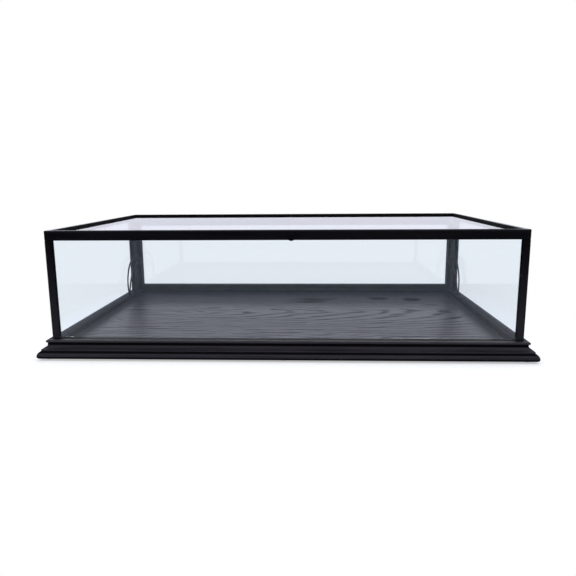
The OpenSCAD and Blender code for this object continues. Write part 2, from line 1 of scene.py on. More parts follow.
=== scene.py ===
# %% [markdown]
# # A glazed countertop display case, dressed for a studio picture
# The case is a low glass hood on a moulded wooden base, all of it black. Its solids
# come ready made from the construction model, so this lesson adds what the solids
# lack: lacquer, stained veneer, glass, blackened steel, and a studio to see them in.

# %% Load the case
import json
import math

import bpy
import numpy as np
from mathutils import Matrix, Vector


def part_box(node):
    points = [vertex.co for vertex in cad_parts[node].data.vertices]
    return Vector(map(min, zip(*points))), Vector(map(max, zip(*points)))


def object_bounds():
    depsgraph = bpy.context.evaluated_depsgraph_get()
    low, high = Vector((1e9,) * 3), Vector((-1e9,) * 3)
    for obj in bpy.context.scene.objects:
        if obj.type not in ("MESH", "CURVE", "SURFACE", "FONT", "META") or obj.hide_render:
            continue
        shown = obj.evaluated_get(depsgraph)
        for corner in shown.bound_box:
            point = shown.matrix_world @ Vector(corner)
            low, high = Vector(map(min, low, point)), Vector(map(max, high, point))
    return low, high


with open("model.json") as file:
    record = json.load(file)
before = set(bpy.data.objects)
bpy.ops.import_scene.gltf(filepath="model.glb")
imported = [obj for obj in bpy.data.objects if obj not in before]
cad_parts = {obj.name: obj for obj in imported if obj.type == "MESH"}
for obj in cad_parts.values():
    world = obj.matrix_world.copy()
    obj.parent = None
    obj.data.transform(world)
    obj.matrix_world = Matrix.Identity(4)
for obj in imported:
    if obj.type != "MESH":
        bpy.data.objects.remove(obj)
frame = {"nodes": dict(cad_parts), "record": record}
pieces = frame["nodes"]
cad_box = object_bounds()
slot_of = {row["node"]: row["material_slot"] for row in frame["record"]["subparts"]}

# %% [markdown]
# ## The camera
# The picture was taken from a little above the lid and slightly right of the middle.
# A camera can be aimed by eye, but here its place, its three angles and its focal
# length were fitted to the straight edges of the case, and they are written down as
# plain numbers. The small shift says that the picture was cropped off-centre.

# %% Camera from the fitted view
IMAGE_PX = 576
SENSOR_MM = 36.0
FOCAL_PX = 522.02
CENTRE_PX = (289.93, 274.19)
EYE_M = (0.04616, -1.0937, 0.29804)
YAW, PITCH, ROLL = -0.0408, 0.1723, -0.0071


def view_matrix(eye, yaw, pitch, roll):
    """Camera axes from angles: look along yaw and pitch, then turn right and up by roll."""
    level = math.cos(pitch)
    ahead = Vector((math.sin(yaw) * level, math.cos(yaw) * level, -math.sin(pitch)))
    flat = Vector((math.cos(yaw), -math.sin(yaw), 0.0))
    tall = flat.cross(ahead)
    right = math.cos(roll) * flat + math.sin(roll) * tall
    up = -math.sin(roll) * flat + math.cos(roll) * tall
    turn = Matrix((right, up, -ahead)).transposed().to_4x4()
    return Matrix.Translation(eye) @ turn


lens = bpy.data.cameras.new("studio_camera")
lens.sensor_fit = "HORIZONTAL"
lens.sensor_width = SENSOR_MM
lens.lens = SENSOR_MM * FOCAL_PX / IMAGE_PX
lens.shift_x = 0.5 - CENTRE_PX[0] / IMAGE_PX
lens.shift_y = CENTRE_PX[1] / IMAGE_PX - 0.5
camera = bpy.data.objects.new("studio_camera", lens)
bpy.context.collection.objects.link(camera)
camera.matrix_world = view_matrix(Vector(EYE_M), YAW, PITCH, ROLL)
bpy.context.scene.camera = camera
bpy.context.scene.view_settings.view_transform = "Standard"
print("lens:", round(lens.lens, 2), "mm")

# %% [markdown]
# ## Small helpers for shader nodes
# A node tree built line by line gets long. Four helpers keep it readable: one adds a
# node with its settings and inputs, one does a sum, one maps a value to a range, and
# one blends two colours. The Mix node has sockets for numbers and for colours under the
# same names, so its colour sockets are picked by their place in the list.

# %% Node helpers
COLOUR_A, COLOUR_B, MIXED_COLOUR = 6, 7, 2


def put(tree, kind, sockets=(), **settings):
    """Adds a shader node. A socket given an output is linked, a plain value is set."""
    node = tree.nodes.new("ShaderNode" + kind)
    for name, value in settings.items():
        setattr(node, name, value)
    for key, value in dict(sockets).items():
        if isinstance(value, bpy.types.NodeSocket):
            tree.links.new(value, node.inputs[key])
        else:
            node.inputs[key].default_value = value
    return node


def calc(tree, operation, *values):
    """One sum on one to three values, as the output socket of a Math node."""
    return put(tree, "Math", dict(enumerate(values)), operation=operation).outputs[0]


def ramp(tree, value, low, high, to_low=0.0, to_high=1.0):
    """Maps low..high smoothly to to_low..to_high and holds the ends."""
    sockets = {"Value": value, "From Min": low, "From Max": high,
               "To Min": to_low, "To Max": to_high}
    return put(tree, "MapRange", sockets, interpolation_type="SMOOTHSTEP").outputs["Result"]


def tint(tree, mask, first, second):
    """Blends two colours by a mask from 0 to 1. A colour is three numbers or an output."""
    sockets = {"Factor": mask}
    for key, colour in ((COLOUR_A, first), (COLOUR_B, second)):
        sockets[key] = colour if isinstance(colour, bpy.types.NodeSocket) else (*colour, 1.0)
    return put(tree, "Mix", sockets, data_type="RGBA").outputs[MIXED_COLOUR]


print("helpers: put, calc, ramp, tint")

# %% [markdown]
# ## Places and distances on a piece
# Wear and dull spots sit at known places. Object coordinates give the place of a point in
# metres: sideways and in depth from the middle of the case, and up from the counter. A
# distance counted in half widths is 1 at the edge of a spot, whatever its size, so spots
# of different sizes can share one soft edge.

# %% Place helpers


def place_on(tree):
    """The place of a point on the piece, as three outputs named X, Y and Z."""
    spot = put(tree, "TexCoord").outputs["Object"]
    return put(tree, "SeparateXYZ", {0: spot}).outputs


def half_widths(tree, value, middle, half):
    """How far a value is from the middle, counted in half widths: |value - middle| / half."""
    off = calc(tree, "ABSOLUTE", calc(tree, "SUBTRACT", value, middle))
    return calc(tree, "DIVIDE", off, half)


def diagonal(tree, first, second):
    """The straight distance over two steps at right angles: the root of their squares' sum."""
    squares = [calc(tree, "POWER", step, 2.0) for step in (first, second)]
    return calc(tree, "SQRT", calc(tree, "ADD", *squares))


def least(tree, values):
    """The smallest of several values."""
    smallest, *others = values
    for value in others:
        smallest = calc(tree, "MINIMUM", smallest, value)
    return smallest


print("places are counted in metres, up to", [round(float(side), 3) for side in cad_box[1]])

# %% [markdown]
# ## Empty finishes
# Every finish starts as one Principled shader on a material's output. What is the same all
# over a piece is set on the shader's own sockets. What changes from place to place is
# linked later, under the socket's own words with an underscore for each space.

# %% Finish helpers


def new_finish(name, **constants):
    """An empty node material with one Principled shader and its constant values."""
    paint = bpy.data.materials.new(name)
    paint.use_nodes = True
    tree = paint.node_tree
    tree.nodes.clear()
    sockets = {key.replace("_", " "): value for key, value in constants.items()}
    shader = put(tree, "BsdfPrincipled", sockets)
    put(tree, "OutputMaterial", {"Surface": shader.outputs[0]})
    return paint, tree, shader


def link(tree, shader, **outputs):
    """Links outputs to the shader's sockets of the same words."""
    for key, value in outputs.items():
        tree.links.new(value, shader.inputs[key.replace("_", " ")])


def mix_shaders(tree, mask, first, second):
    """A shader that goes from the first to the second as the mask goes from 0 to 1."""
    return put(tree, "MixShader", {0: mask, 1: first.outputs[0], 2: second.outputs[0]})


def show(tree, shader):
    """Puts another shader on the material's output."""
    tree.links.new(shader.outputs[0], tree.nodes["Material Output"].inputs["Surface"])


def bumped(tree, height, strength, distance):
    """A normal that is tipped by a height."""
    sockets = {"Height": height, "Strength": strength, "Distance": distance}
    return put(tree, "Bump", sockets).outputs["Normal"]


print("helpers: new_finish, link, mix_shaders, show, bumped")

# %% [markdown]
# ## The studio
# The case stands on white in front of a bright white wall, and the side with the camera
# is much darker, which is why the front of the frame looks almost black while the floor
# inside shines. One sky can do this: rays straight from the camera or through glass
# see white, and mirrored rays see white behind the case and dim grey in front of it.
# They draw the soft lines along the moulding. Straight up the sky is dim again, so that
# the glass lid doesn't veil the floor when one looks down on it.
# A heading has the length 1: its Y says how far it points back, its Z how far up.

# %% Sky of the studio
DIM_FRONT = 0.12
OVERHEAD = 0.95
ZENITH = 0.2
AMBIENT = 0.35
WALL_STARTS_Y = (-0.25, 0.45)
WALL_ENDS_Z = (0.6, 0.95)
ROOF_STARTS_Z = (0.12, 0.6)
ROOF_ENDS_Z = (0.7, 0.95)
WHITE = (1.0, 1.0, 1.0)
COOL_WHITE = (0.855, 0.876, 1.0)

world = bpy.data.worlds.new("studio")
bpy.context.scene.world = world
world.use_nodes = True
sky = world.node_tree
sky.nodes.clear()
rays = put(sky, "LightPath").outputs
heading = put(sky, "SeparateXYZ", {0: put(sky, "TexCoord").outputs["Generated"]}).outputs
wall = calc(sky, "MULTIPLY", ramp(sky, heading["Y"], *WALL_STARTS_Y, DIM_FRONT, 1.0),
            ramp(sky, heading["Z"], *WALL_ENDS_Z, 1.0, ZENITH))
roof = calc(sky, "MULTIPLY", ramp(sky, heading["Z"], *ROOF_STARTS_Z, DIM_FRONT, OVERHEAD),
            ramp(sky, heading["Z"], *ROOF_ENDS_Z, 1.0, ZENITH))
mirrored = calc(sky, "MULTIPLY", rays["Is Glossy Ray"], calc(sky, "MAXIMUM", wall, roof))
seen = calc(sky, "MAXIMUM", rays["Is Camera Ray"], rays["Is Transmission Ray"])
lit = calc(sky, "MULTIPLY", rays["Is Diffuse Ray"], AMBIENT)
level = calc(sky, "MAXIMUM", calc(sky, "MAXIMUM", mirrored, seen), lit)
glow = put(sky, "Background", {"Color": tint(sky, seen, COOL_WHITE, WHITE), "Strength": level})
put(sky, "OutputWorld", {"Surface": glow.outputs[0]})
print("sky: white behind,", DIM_FRONT, "in front")

# %% [markdown]
# ## The floor sheet
# The case stands on a pale sheet, a plain square. It is so large that its edges are never
# in the picture, and it lies a hair below the felt pads, because two faces in one plane
# would flicker.

# %% Floor sheet
FLOOR_HALF_M = 9.0
FLOOR_DROP_M = 0.0004

floor_mesh = bpy.data.meshes.new("studio_floor")
corners = FLOOR_HALF_M * np.array([[-1, -1, 0], [1, -1, 0], [1, 1, 0], [-1, 1, 0]])
floor_mesh.from_pydata((corners - [0, 0, FLOOR_DROP_M]).tolist(), [], [[0, 1, 2, 3]])
studio_floor = bpy.data.objects.new("studio_floor", floor_mesh)
bpy.context.collection.objects.link(studio_floor)
print("floor half width:", FLOOR_HALF_M, "m")

# %% [markdown]
# ## What the sheet shows
# The sheet keeps the shadow of the case. A little of its own light lifts it to white for
# the camera, and a hand's width away from the case it is plain white. The front pane
# mirrors the sheet, and that lays a faint blue veil over the wood behind the glass, so
# mirrored rays see the sheet as dim blue in front of the case and as white behind it.

# %% Paint of the floor sheet
FLOOR_GLOW = 0.46
SHADOW_REACH_M = 0.12
VEIL_BLUE = (0.04, 0.17, 0.40)
VEIL_FADE_M = (-0.75, 0.0)

sheet_paint, tree, paper = new_finish(
    "pale_floor", Base_Color=(0.80, 0.80, 0.80, 1.0), Roughness=0.9, Specular_IOR_Level=0.0,
    Emission_Color=(*WHITE, 1.0))
place = place_on(tree)
rays = put(tree, "LightPath").outputs
seen = calc(tree, "MAXIMUM", rays["Is Camera Ray"], rays["Is Transmission Ray"])
link(tree, paper, Emission_Strength=calc(tree, "MULTIPLY", seen, FLOOR_GLOW))
beyond = [calc(tree, "SUBTRACT", calc(tree, "ABSOLUTE", place[axis]), half)
          for axis, half in zip("XY", cad_box[1])]
away = diagonal(tree, *(calc(tree, "MAXIMUM", step, 0.0) for step in beyond))
bare = calc(tree, "MULTIPLY", seen, ramp(tree, away, 0.0, SHADOW_REACH_M))
fading = mix_shaders(tree, bare, paper, put(tree, "Emission", {"Strength": 1.0}))
veil = tint(tree, ramp(tree, place["Y"], *VEIL_FADE_M), VEIL_BLUE, COOL_WHITE)
shine = put(tree, "Emission", {"Color": veil, "Strength": 1.0})
mirrored = calc(tree, "SUBTRACT", rays["Is Glossy Ray"], rays["Is Transmission Ray"])
show(tree, mix_shaders(tree, calc(tree, "MAXIMUM", mirrored, 0.0), fading, shine))
floor_mesh.materials.append(sheet_paint)
print("shadow reaches", SHADOW_REACH_M, "m")

# %% [markdown]
# ## The lamp
# One broad lamp hangs above the case and lights the wood evenly. A lamp is mirrored like
# anything else, and the lid would show its hard outline, so it is hidden to mirrored rays.

# %% Lamp overhead
LAMP_W = 38.0
LAMP_M = Vector((0.0, 0.15, 1.7))
LAMP_AIM_M = Vector((0.0, 0.0, 0.1))
LAMP_SIZE_M = (4.4, 3.2)

light = bpy.data.lights.new("overhead", "AREA")
light.shape = "RECTANGLE"
light.size, light.size_y = LAMP_SIZE_M
light.energy = LAMP_W
lamp = bpy.data.objects.new("overhead", light)
bpy.context.collection.objects.link(lamp)
facing = (LAMP_AIM_M - LAMP_M).to_track_quat("-Z", "Y").to_matrix().to_4x4()
lamp.matrix_world = Matrix.Translation(LAMP_M) @ facing
lamp.visible_glossy = False
print("lamp:", LAMP_W, "W")

# %% [markdown]
# ## Open grain
# The case is made of an open-pored hardwood, stained black and thinly lacquered. The
# pores stay visible as short fine dashes along the length, gathered in streaks. The
# dashes are noise that is stretched hard along the grain. Several finishes use it, so it
# is one node group that puts out masks and a height, and each finish does the rest.
# The scales count waves for each metre, along the grain and twice across it.

# %% Node group: open grain
DASH_SCALE = (110.0, 1500.0, 1500.0)
DASH_EDGE = (0.52, 0.66)
STREAK_SCALE = (7.0, 210.0, 210.0)
STREAK_EDGE = (0.36, 0.64)
STRAY_PORES = 0.3
STREAK_HEIGHT = 0.35
NOISE_ROUGHNESS = 0.55


def stretched(tree, vector, scale, detail=3.0):
    """Noise on coordinates that are scaled per axis, so that it runs along the first one."""
    mapped = put(tree, "Mapping", {"Vector": vector, "Scale": scale})
    sockets = {"Vector": mapped.outputs[0], "Scale": 1.0, "Detail": detail,
               "Roughness": NOISE_ROUGHNESS}
    return put(tree, "TexNoise", sockets).outputs["Fac"]


grain = bpy.data.node_groups.new("open_grain", "ShaderNodeTree")
grain.interface.new_socket("Along", in_out="INPUT", socket_type="NodeSocketVector")
along = grain.nodes.new("NodeGroupInput").outputs["Along"]
dashes = ramp(grain, stretched(grain, along, DASH_SCALE), *DASH_EDGE)
streaks = ramp(grain, stretched(grain, along, STREAK_SCALE, detail=4.0), *STREAK_EDGE)
gathered = calc(grain, "MULTIPLY_ADD", streaks, 1.0 - STRAY_PORES, STRAY_PORES)
pores = calc(grain, "MULTIPLY", dashes, gathered)
height = calc(grain, "SUBTRACT", calc(grain, "MULTIPLY", streaks, STREAK_HEIGHT), pores)
grain_out = grain.nodes.new("NodeGroupOutput")
for key, value in (("Pores", pores), ("Streaks", streaks), ("Height", height)):
    grain.interface.new_socket(key, in_out="OUTPUT", socket_type="NodeSocketFloat")
    grain.links.new(value, grain_out.inputs[key])
print("group:", grain.name, [socket.name for socket in grain.interface.items_tree])

# %% [markdown]
# ## Black lacquer
# Thin strips of wood are cut along the grain, so the grain has to follow the length of
# each piece: across for the front, in depth for the sides, upright for the posts.
# A material that is turned once for each direction does that without unwrapping.
# Looked at along the grain the sides shine less than the front. The posts are painted paler
# near the foot: painted light, for light bounced up from the white sheet.

# %% Lacquered wood
TURN = {
    "x": (0.0, 0.0, 0.0),
    "y": (0.0, 0.0, -math.pi / 2),
    "z": (0.0, math.pi / 2, 0.0),
}
GRAIN_BUMP = (0.35, 0.00003)
BOUNCE_FADE_M = (0.02, 0.21)


def grain_node(tree, axis):
    """The masks of the open grain, placed so that it runs along the named axis."""
    spot = put(tree, "TexCoord").outputs["Object"]
    turned = put(tree, "Mapping", {"Vector": spot, "Rotation": TURN[axis]})
    node = put(tree, "Group", node_tree=grain)
    tree.links.new(turned.outputs[0], node.inputs["Along"])
    return node.outputs


def lacquer(name, axis, blacks, smooth, dull, gloss, bounce_light=None):
    """Black lacquer: pores and streaks vary its colour, its roughness and its surface.

    The bounce light is painted light: a paler colour at the foot that fades out up a post.
    """
    paint, tree, shader = new_finish(f"{name}_{axis}", Specular_IOR_Level=gloss)
    wood = grain_node(tree, axis)
    colour = tint(tree, wood["Streaks"], *blacks)
    if bounce_light:
        colour = tint(tree, ramp(tree, place_on(tree)["Z"], *BOUNCE_FADE_M), bounce_light, colour)
    link(tree, shader, Base_Color=colour,
         Roughness=ramp(tree, wood["Pores"], 0.0, 1.0, smooth, dull),
         Normal=bumped(tree, wood["Height"], *GRAIN_BUMP))
    return paint


print("the grain can run along", sorted(TURN))

# %% [markdown]
# ## The four blacks
# The lacquer is not the same black everywhere. The back frame and the lid are darkest, the
# posts are matt, and the base is the palest. A black is a pair of colours, one between the
# streaks of the grain and one on them. On the base nearly all the shine comes from a clear
# coat that is added in the next step, so here it has almost none.

# %% Lacquers of the frame, the lid, the posts and the base
FRAME_BLACK = (0.0036, 0.0033, 0.0048), (0.0070, 0.0066, 0.0086)
LID_BLACK = (0.0050, 0.0042, 0.0050), (0.0088, 0.0076, 0.0088)
POST_BLACK = (0.0040, 0.0034, 0.0048), (0.0078, 0.0068, 0.0092)
# Painted light: the paler foot colour of the posts stands in for light bounced up from the sheet.
POST_BOUNCE_LIGHT = (0.0300, 0.0288, 0.0345)
BASE_BLACK = (0.0205, 0.0175, 0.0222), (0.0365, 0.0322, 0.0392)

frame_paint = {
    axis: lacquer("frame_lacquer", axis, FRAME_BLACK, smooth=0.48, dull=0.62, gloss=0.045)
    for axis in "xz"}
lid_paint = {
    axis: lacquer("lid_lacquer", axis, LID_BLACK, smooth=0.48, dull=0.62, gloss=gloss)
    for axis, gloss in (("x", 0.07), ("y", 0.02))}
post_paint = lacquer(
    "post_lacquer", "z", POST_BLACK, smooth=0.80, dull=0.95, gloss=0.05, bounce_light=POST_BOUNCE_LIGHT)
base_paint = {
    axis: lacquer("moulding_wood", axis, BASE_BLACK, smooth=smooth, dull=dull, gloss=0.02)
    for axis, smooth, dull in (("x", 0.46, 0.62), ("y", 0.70, 0.85))}
print("lacquers:", len(frame_paint) + len(lid_paint) + len(base_paint) + 1)

# %% [markdown]
# ## Painted shade and polish on the base
# Deep black lines are painted into the corners of the moulding, under the nose, above the
# bead and round the foot: painted shade where the creases and the underside are dark. On
# top, where the hood comes down, a dull strip is painted darker as the shadow of the hood's
# edge and panes. The lines could be cut into the wood as grooves, but they are only changes
# of colour and shine, so a clear coat is laid over the lacquer and left out at the lines.
# Hands keep the nose brighter than the rest.

# %% Painted shade lines and the hood's seat shadow
# Painted shade: deep black lines in the creases and round the foot, and a darker seat strip
# painted as the hood's shadow.
PAINTED_SHADE_BLACK = (0.0048, 0.0046, 0.0060)
SEAT_SHADOW_BLACK = (0.0110, 0.0098, 0.0128)
SEAT_COAT = 0.25
SHADE_LINES_M = ((0.0020, 0.0062), (0.0141, 0.0019), (0.0265, 0.0034))
SHADE_LINE_EDGE = (0.6, 1.0)
SEAT_EDGE = (0.6, 1.1)
CORNER_FADE_M = 0.025
NOSE_M = (0.0280, 0.0310)


def shade_and_coat_base(paint, along, out, seat, half, corner, coat, nose_coat, rough):
    """Lays a clear coat on the moulding, except in the pools, and thinly on the seat.

    A pool is a line of painted shade, given as a height and a half width: deep black at its
    middle, and the lacquer's own colour from one half width away. The seat is a strip at a
    distance from the middle of the case, with a half width. It is dull and painted darker as
    the hood's shadow, and painted deep black from the corner onwards.
    """
    tree = paint.node_tree
    shader = tree.nodes["Principled BSDF"]
    shader.inputs["Coat Roughness"].default_value = rough
    place = place_on(tree)
    to_shade_lines = [half_widths(tree, place["Z"], *pool) for pool in SHADE_LINES_M]
    unshaded = ramp(tree, least(tree, to_shade_lines), *SHADE_LINE_EDGE)
    sideways = calc(tree, "ABSOLUTE", place[out])
    clean = ramp(tree, half_widths(tree, sideways, seat, half), *SEAT_EDGE)
    at_corner = ramp(tree, calc(tree, "ABSOLUTE", place[along]), corner, corner + CORNER_FADE_M)
    lacquered = shader.inputs["Base Color"].links[0].from_socket
    # Painted shadow on the seat, turning to the painted deep black at the corners.
    seat_shadow = tint(tree, at_corner, SEAT_SHADOW_BLACK, PAINTED_SHADE_BLACK)
    kept = calc(tree, "MAXIMUM", clean, ramp(tree, at_corner, 0.0, 1.0, SEAT_COAT, 0.0))
    handled = ramp(tree, place["Z"], *NOSE_M, coat, nose_coat)
    link(tree, shader,
         Base_Color=tint(tree, unshaded, PAINTED_SHADE_BLACK, tint(tree, clean, seat_shadow, lacquered)),
         Coat_Weight=calc(tree, "MULTIPLY", calc(tree, "MULTIPLY", unshaded, kept), handled))


shade_and_coat_base(base_paint["x"], along="X", out="Y", seat=0.2235, half=0.0105, corner=0.340,
          coat=0.520, nose_coat=0.936, rough=0.46)
shade_and_coat_base(base_paint["y"], along="Y", out="X", seat=0.3970, half=0.0100, corner=0.260,
          coat=0.240, nose_coat=0.432, rough=0.70)
print("pools at", [round(1000 * middle, 1) for middle, half in SHADE_LINES_M], "mm")

# %% [markdown]
# ## The polished edges of the lid
# Hands lift the hood by its front and sides, and dusters follow the same edges, so the
# lid's rails are polished there. The upper front edge is painted a little paler, a painted
# highlight where a rounded edge would catch the light.
# A second coat that is laid on by place shows this, and the lacquer below stays as it is.
# How strong it is at a place is left to a function for each kind of rail.

# %% Polish
# Painted highlight: the paler colour of the lid's upper front edge.
EDGE_HIGHLIGHT = (0.030, 0.029, 0.035)
POLISH_ROUGHNESS = 0.12
TOP_M = cad_box[1][2]
TOP_FACE_M = (TOP_M - 0.0010, TOP_M - 0.0003)
UPPER_EDGE_M = (TOP_M - 0.0035, TOP_M)
FRONT_FACE_M = (-0.229, -0.225)


def polish(paint, coats):
    """Lays a clear coat on the top faces, as strong as the function of place says."""
    tree = paint.node_tree
    shader = tree.nodes["Principled BSDF"]
    shader.inputs["Coat Roughness"].default_value = POLISH_ROUGHNESS
    place = place_on(tree)
    # Painted highlight along the upper front edge.
    highlight_edge = calc(tree, "MULTIPLY", ramp(tree, place["Z"], *UPPER_EDGE_M),
                      ramp(tree, place["Y"], *FRONT_FACE_M, 1.0, 0.0))
    lacquered = shader.inputs["Base Color"].links[0].from_socket
    on_top = ramp(tree, place["Z"], *TOP_FACE_M)
    link(tree, shader, Base_Color=tint(tree, highlight_edge, lacquered, EDGE_HIGHLIGHT),
         Coat_Weight=calc(tree, "MULTIPLY", on_top, coats(tree, place["X"], place["Y"])))


print("polished down from", round(TOP_M, 4), "m")

# %% [markdown]
# ## Polish on the front rail
# The front rail is polished at its corners, where the hands go. Seen at a low angle its
# top face mirrors the white wall there. The rear rail has the same paint, so the polish
# ends in the middle of the case.

# %% Front rail of the lid
LEFT_CORNER_M, LEFT_COATS = (-0.40, -0.20), (0.60, 0.07)
RIGHT_CORNER_M, RIGHT_COATS = (0.37, 0.40), (0.0, 0.9)
FRONT_HALF_M = (-0.20, 0.0)


def front_polish(tree, x, y):
    """Strong at the left corner, fading to the right, and again at the right corner."""
    corners = calc(tree, "MAXIMUM", ramp(tree, x, *LEFT_CORNER_M, *LEFT_COATS),
                   ramp(tree, x, *RIGHT_CORNER_M, *RIGHT_COATS))
    return calc(tree, "MULTIPLY", corners, ramp(tree, y, *FRONT_HALF_M, 1.0, 0.0))


polish(lid_paint["x"], front_polish)
print("polished:", lid_paint["x"].name)

# %% [markdown]
# ## Polish on the side rails
# The side rails are polished along their outer side. The strip starts at nearly the full
# width of the rail in front and gets narrower towards the back, where few hands reach.

# %% Side rails of the lid
STRIP_EDGE_M = (0.3915, 0.3975)
STRIP_RUN_M, NARROWER_M = (-0.22, 0.15), (0.0, 0.006)


def side_polish(tree, x, y):
    """On the outer side of the rail, in a strip that gets narrower towards the back."""
    narrower = ramp(tree, y, *STRIP_RUN_M, *NARROWER_M)
    outward = calc(tree, "SUBTRACT", calc(tree, "ABSOLUTE", x), narrower)
    return ramp(tree, outward, *STRIP_EDGE_M)


polish(lid_paint["y"], side_polish)
print("polished:", lid_paint["y"].name)

# %% [markdown]
# ## The figure of the veneer floor
# The floor is one sheet of veneer from a board sawn straight through a log, so the yearly
# rings show as nested arches that run left and right. A ring is a shell round the
# tree's heart. Distance from a heart line that dips through the sheet therefore
# gives the arches, and noise makes them waver. The open wood at the start of each ring
# takes more stain and shines less than the dense wood after it.

# %% Veneer: rings
HEART_DEPTH_M = 0.05
HEART_DIP = 0.16
RING_M = 0.011
RING_OPENS = (0.0, 0.15)
RING_CLOSES = (0.28, 0.6)
WAVER_SCALE = (3.2, 11.0, 1.0)
WAVER_ACROSS_M, WAVER_DOWN_M = 0.10, 0.05
NOISE_MIDDLE = 0.5
BETWEEN_STREAKS = 0.35
OPEN_PORES = 0.7

veneer, tree, shader = new_finish("floor_veneer", Specular_IOR_Level=0.08, Coat_Roughness=0.38)
wood = grain_node(tree, "x")
place = place_on(tree)
spot = put(tree, "TexCoord").outputs["Object"]
waver = calc(tree, "SUBTRACT", stretched(tree, spot, WAVER_SCALE), NOISE_MIDDLE)
dip = calc(tree, "MULTIPLY_ADD", place["X"], HEART_DIP, HEART_DEPTH_M)
from_heart = diagonal(tree, calc(tree, "MULTIPLY_ADD", waver, WAVER_ACROSS_M, place["Y"]),
                      calc(tree, "MULTIPLY_ADD", waver, WAVER_DOWN_M, dip))
ring = calc(tree, "FRACT", calc(tree, "DIVIDE", from_heart, RING_M))
early = calc(tree, "MULTIPLY", ramp(tree, ring, *RING_OPENS),
             ramp(tree, ring, *RING_CLOSES, 1.0, 0.0))
streaky = ramp(tree, wood["Streaks"], 0.0, 1.0, BETWEEN_STREAKS, 1.0)
open_wood = calc(tree, "MAXIMUM", calc(tree, "MULTIPLY", early, streaky),
                 calc(tree, "MULTIPLY", wood["Pores"], OPEN_PORES))
print("veneer rings every", RING_M * 1000, "mm")

# %% [markdown]
# ## Where the floor has lost its shine
# Along the back and the sides the sheet is dull, most of all in a few ragged spots near
# the back, which are brown. A spot is an oval: a place and two half widths. The wavering
# of the rings and the streaks of the grain tear its edge.

# %% Veneer: dull spots and bands
DULL_SPOTS_M = (
    (0.050, 0.127, 0.075, 0.042),
    (0.207, 0.143, 0.030, 0.017),
    (0.285, 0.133, 0.024, 0.020),
)
SPOT_EDGE = (0.45, 1.05)
TORN_BY_WAVER, TORN_BY_STREAKS = 2.2, 0.5
BACK_BAND_M, BACK_DULL = (0.0, 0.115), 0.65
SIDE_BAND_M, SIDE_DULL = (0.342, 0.384), 0.8

to_spots = []
for x, y, wide, long in DULL_SPOTS_M:
    to_spots.append(diagonal(tree, half_widths(tree, place["X"], x, wide),
                             half_widths(tree, place["Y"], y, long)))
streaked = calc(tree, "SUBTRACT", wood["Streaks"], NOISE_MIDDLE)
torn = calc(tree, "MULTIPLY_ADD", waver, TORN_BY_WAVER,
            calc(tree, "MULTIPLY", streaked, TORN_BY_STREAKS))
worn = ramp(tree, calc(tree, "ADD", least(tree, to_spots), torn), *SPOT_EDGE, 1.0, 0.0)
sideways = calc(tree, "ABSOLUTE", place["X"])
bands = calc(tree, "MAXIMUM", ramp(tree, place["Y"], *BACK_BAND_M, 0.0, BACK_DULL),
             ramp(tree, sideways, *SIDE_BAND_M, 0.0, SIDE_DULL))
dull = calc(tree, "MAXIMUM", worn, bands)
print("dull spots:", len(DULL_SPOTS_M))

# %% [markdown]
# ## The stain and the shine of the floor
# The masks come together here. Open wood and dull places take the darker stain, are
# rougher and have no clear coat. The surface follows the grain and sinks a little in the
# open wood.

# %% Veneer: stain
DENSE_STAIN = (0.022, 0.0172, 0.0300)
OPEN_STAIN = (0.010, 0.0078, 0.0105)
WORN_BROWN = (0.007, 0.0045, 0.0035)
DENSE_ROUGHNESS, OPEN_ROUGHNESS, DULL_ROUGHNESS = 0.38, 0.58, 0.9
DENSE_COAT = 0.57
OPEN_SINKS = 0.5
VENEER_BUMP = (0.3, 0.00004)

darker = calc(tree, "MAXIMUM", open_wood, dull)
stain = tint(tree, darker, DENSE_STAIN, OPEN_STAIN)
relief = calc(tree, "SUBTRACT", wood["Height"], calc(tree, "MULTIPLY", early, OPEN_SINKS))
roughness = calc(tree, "MAXIMUM", calc(tree, "MULTIPLY", dull, DULL_ROUGHNESS),
                 ramp(tree, darker, 0.0, 1.0, DENSE_ROUGHNESS, OPEN_ROUGHNESS))
link(tree, shader, Base_Color=tint(tree, worn, stain, WORN_BROWN), Roughness=roughness,
     Coat_Weight=ramp(tree, darker, 0.0, 1.0, DENSE_COAT, 0.0),
     Normal=bumped(tree, relief, *VENEER_BUMP))
print("veneer nodes:", len(tree.nodes))

# %% [markdown]
# ## Glass
# Float glass is clear, with a faint blue-green cast that shows where two panes lie one
# behind the other. Refraction is left to the shader. Lamp light may pass straight
# through, because rays that are bent on the way to a lamp never find it. The cut edges
# are ground dull, and they are made partly see-through, because light that is caught
# inside a pane would otherwise draw a white line along its lower edge. A face that is
# turned away from the thin side of the pane is an edge. The side panes are seen at a low
# angle, where real glass would mirror the whole studio, so they bend and mirror less.

# %% Panes
PANE_TINT = (0.90, 0.932, 0.966)
WIPED_TINT = tuple(0.994 * channel for channel in PANE_TINT)
EDGE_TINT = (0.03, 0.05, 0.05)
EDGE_SOLID = 0.3
EDGE_ROUGHNESS = 0.6
EDGE_FACING = 0.5
WIPE_SCALE = (4.0, 4.0, 9.0)
WIPE_EDGE = (0.3, 0.7)
HAZE_EDGE = (0.35, 0.75)
HAZE_ROUGHNESS = 0.0015


